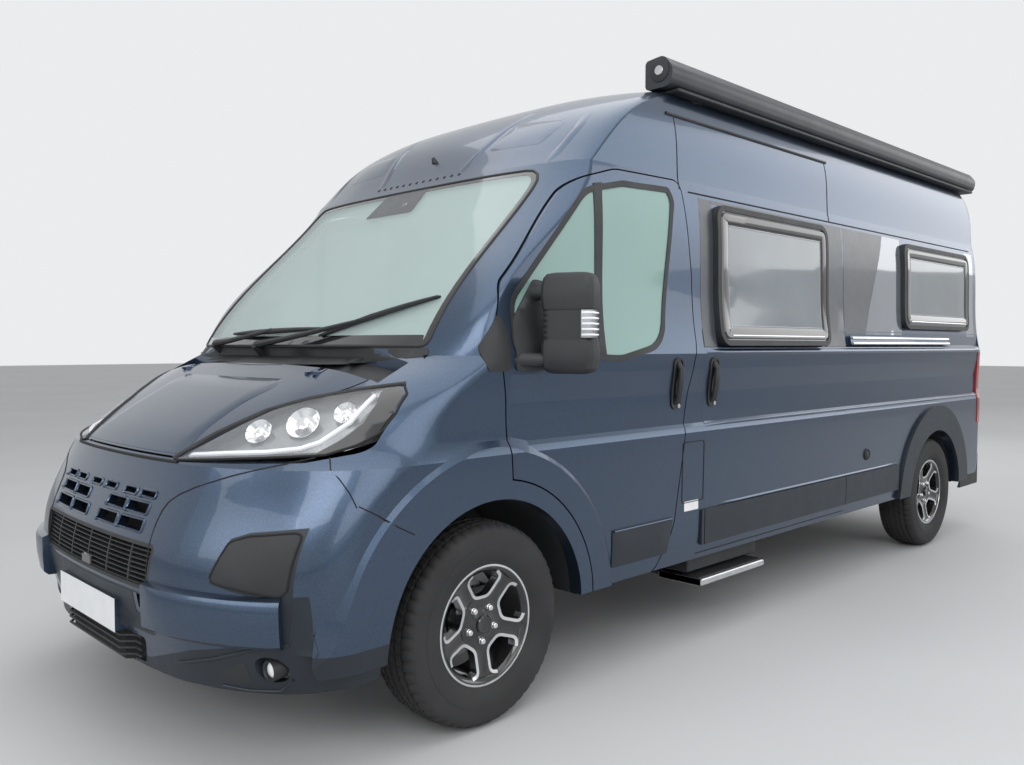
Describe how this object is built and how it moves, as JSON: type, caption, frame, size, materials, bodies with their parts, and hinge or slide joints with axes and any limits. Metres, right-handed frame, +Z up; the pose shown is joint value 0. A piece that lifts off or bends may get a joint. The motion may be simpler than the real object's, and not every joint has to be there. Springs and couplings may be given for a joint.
{
  "type": "camper van",
  "caption": "Long high-roof camper van with hinged cab and tail doors, lifting bonnet, steered front wheels, sliding entrance step and roof awning case.",
  "frame": {"origin": "on the floor, midway along the overall length and midway across", "axes": "+Z up, -Y towards the front of the van, +X towards its left side"},
  "size_m": [2.508, 5.9972, 2.606],
  "materials": {
    "body_paint": "dark metallic blue-grey, clear coat",
    "black_plastic": "grained",
    "window_glass": "clear with a green tint",
    "privacy_acrylic": "dark tinted",
    "lamp_lens": "clear",
    "red_lens": "gloss",
    "tyre_rubber": "matt",
    "alloy": "gloss black with bright cut edges",
    "underbody_steel": "black",
    "cast_metal": "as cast",
    "bright_steel": "bright",
    "step_aluminium": "anodised",
    "awning_case": "anthracite, satin",
    "dash_plastic": "soft grained",
    "seat_fabric": "woven",
    "bed_fabric": "woven",
    "furniture_wood": "satin",
    "roof_acrylic": "opal"
  },
  "bodies": {
    "van": {"awning": "awning_case", "bumper_lower": "black_plastic", "cab_frame": "body_paint", "cab_seats": "seat_fabric", "dashboard": "dash_plastic", "engine": "cast_metal", "exhaust": "bright_steel", "floor_frame": "underbody_steel", "front_bumper": "body_paint", "front_subframe": "underbody_steel", "fuel_tank": "black_plastic", "furniture": "furniture_wood", "headlamps": "lamp_lens", "lower_grille": "black_plastic", "mattress": "bed_fabric", "nose_panel": "body_paint", "prop_shaft": "underbody_steel", "rear_arches": "black_plastic", "rear_axle": "underbody_steel", "rear_bumper": "black_plastic", "roof": "body_paint", "roof_lights": "roof_acrylic", "scuttle": "black_plastic", "side_mouldings": "black_plastic", "side_wall_left": "body_paint", "side_wall_right": "body_paint", "slide_rail": "bright_steel", "sliding_door": "body_paint", "tail_lamps": "red_lens", "waste_tank": "black_plastic", "window_frames": "black_plastic", "window_panes": "privacy_acrylic", "windscreen": "window_glass", "wing_left": "body_paint", "wing_right": "body_paint", "wipers": "black_plastic"},
    "steer_left": {"knuckle_left": "cast_metal"},
    "steer_right": {"knuckle_right": "cast_metal"},
    "wheel_front_left": {"tyre_front_left": "tyre_rubber", "rim_front_left": "alloy"},
    "wheel_front_right": {"tyre_front_right": "tyre_rubber", "rim_front_right": "alloy"},
    "wheel_rear_left": {"tyre_rear_left": "tyre_rubber", "rim_rear_left": "alloy"},
    "wheel_rear_right": {"tyre_rear_right": "tyre_rubber", "rim_rear_right": "alloy"},
    "cab_door_left": {"cab_door_left": "body_paint", "door_glass_left": "window_glass", "door_trim_left": "black_plastic"},
    "cab_door_right": {"cab_door_right": "body_paint", "door_glass_right": "window_glass", "door_trim_right": "black_plastic"},
    "tail_door_left": {"tail_door_left": "body_paint", "tail_glass_left": "privacy_acrylic"},
    "tail_door_right": {"tail_door_right": "body_paint", "tail_glass_right": "privacy_acrylic"},
    "bonnet": {"bonnet": "body_paint"},
    "entrance_step": {"entrance_step": "step_aluminium"},
    "steering_wheel": {"steering_wheel": "dash_plastic"}
  },
  "joints": [
    {"name": "spin_front_left", "type": "hinge", "parent": "steer_left", "child": "wheel_front_left", "pos_m": [0.895, -2.006, 0.36], "axis": [1, 0, 0], "continuous": true},
    {"name": "spin_front_right", "type": "hinge", "parent": "steer_right", "child": "wheel_front_right", "pos_m": [-0.895, -2.006, 0.36], "axis": [1, 0, 0], "continuous": true},
    {"name": "spin_rear_left", "type": "hinge", "parent": "van", "child": "wheel_rear_left", "pos_m": [0.895, 2.029, 0.36], "axis": [1, 0, 0], "continuous": true},
    {"name": "spin_rear_right", "type": "hinge", "parent": "van", "child": "wheel_rear_right", "pos_m": [-0.895, 2.029, 0.36], "axis": [1, 0, 0], "continuous": true},
    {"name": "steer_left", "type": "hinge", "parent": "van", "child": "steer_left", "pos_m": [0.742, -2.006, 0.36], "axis": [0, 0, 1], "range_deg": [-33, 33]},
    {"name": "steer_right", "type": "hinge", "parent": "van", "child": "steer_right", "pos_m": [-0.742, -2.006, 0.36], "axis": [0, 0, 1], "range_deg": [-33, 33]},
    {"name": "steering_wheel", "type": "hinge", "parent": "van", "child": "steering_wheel", "pos_m": [-0.47, -1.611, 1.13], "axis": [0, 0.8, 0.6], "range_deg": [-500, 500]},
    {"name": "cab_door_left", "type": "hinge", "parent": "van", "child": "cab_door_left", "pos_m": [1.029, -1.992, 0.9], "axis": [0, 0, -1], "range_deg": [0, 70]},
    {"name": "cab_door_right", "type": "hinge", "parent": "van", "child": "cab_door_right", "pos_m": [-1.029, -1.992, 0.9], "axis": [0, 0, 1], "range_deg": [0, 70]},
    {"name": "tail_door_left", "type": "hinge", "parent": "van", "child": "tail_door_left", "pos_m": [0.793, 2.952, 1.28], "axis": [0, 0, -1], "range_deg": [0, 180]},
    {"name": "tail_door_right", "type": "hinge", "parent": "van", "child": "tail_door_right", "pos_m": [-0.793, 2.952, 1.28], "axis": [0, 0, 1], "range_deg": [0, 180]},
    {"name": "bonnet", "type": "hinge", "parent": "van", "child": "bonnet", "pos_m": [0, -2.347, 1.235], "axis": [-1, 0, 0], "range_deg": [0, 60]},
    {"name": "entrance_step", "type": "slide", "parent": "van", "child": "entrance_step", "axis": [1, 0, 0], "range_m": [0, 0.25]}
  ],
  "couplings": [
    {"joint": "steer_right", "follows": "steer_left", "ratio": 1},
    {"joint": "steering_wheel", "follows": "steer_left", "ratio": 15}
  ]
}
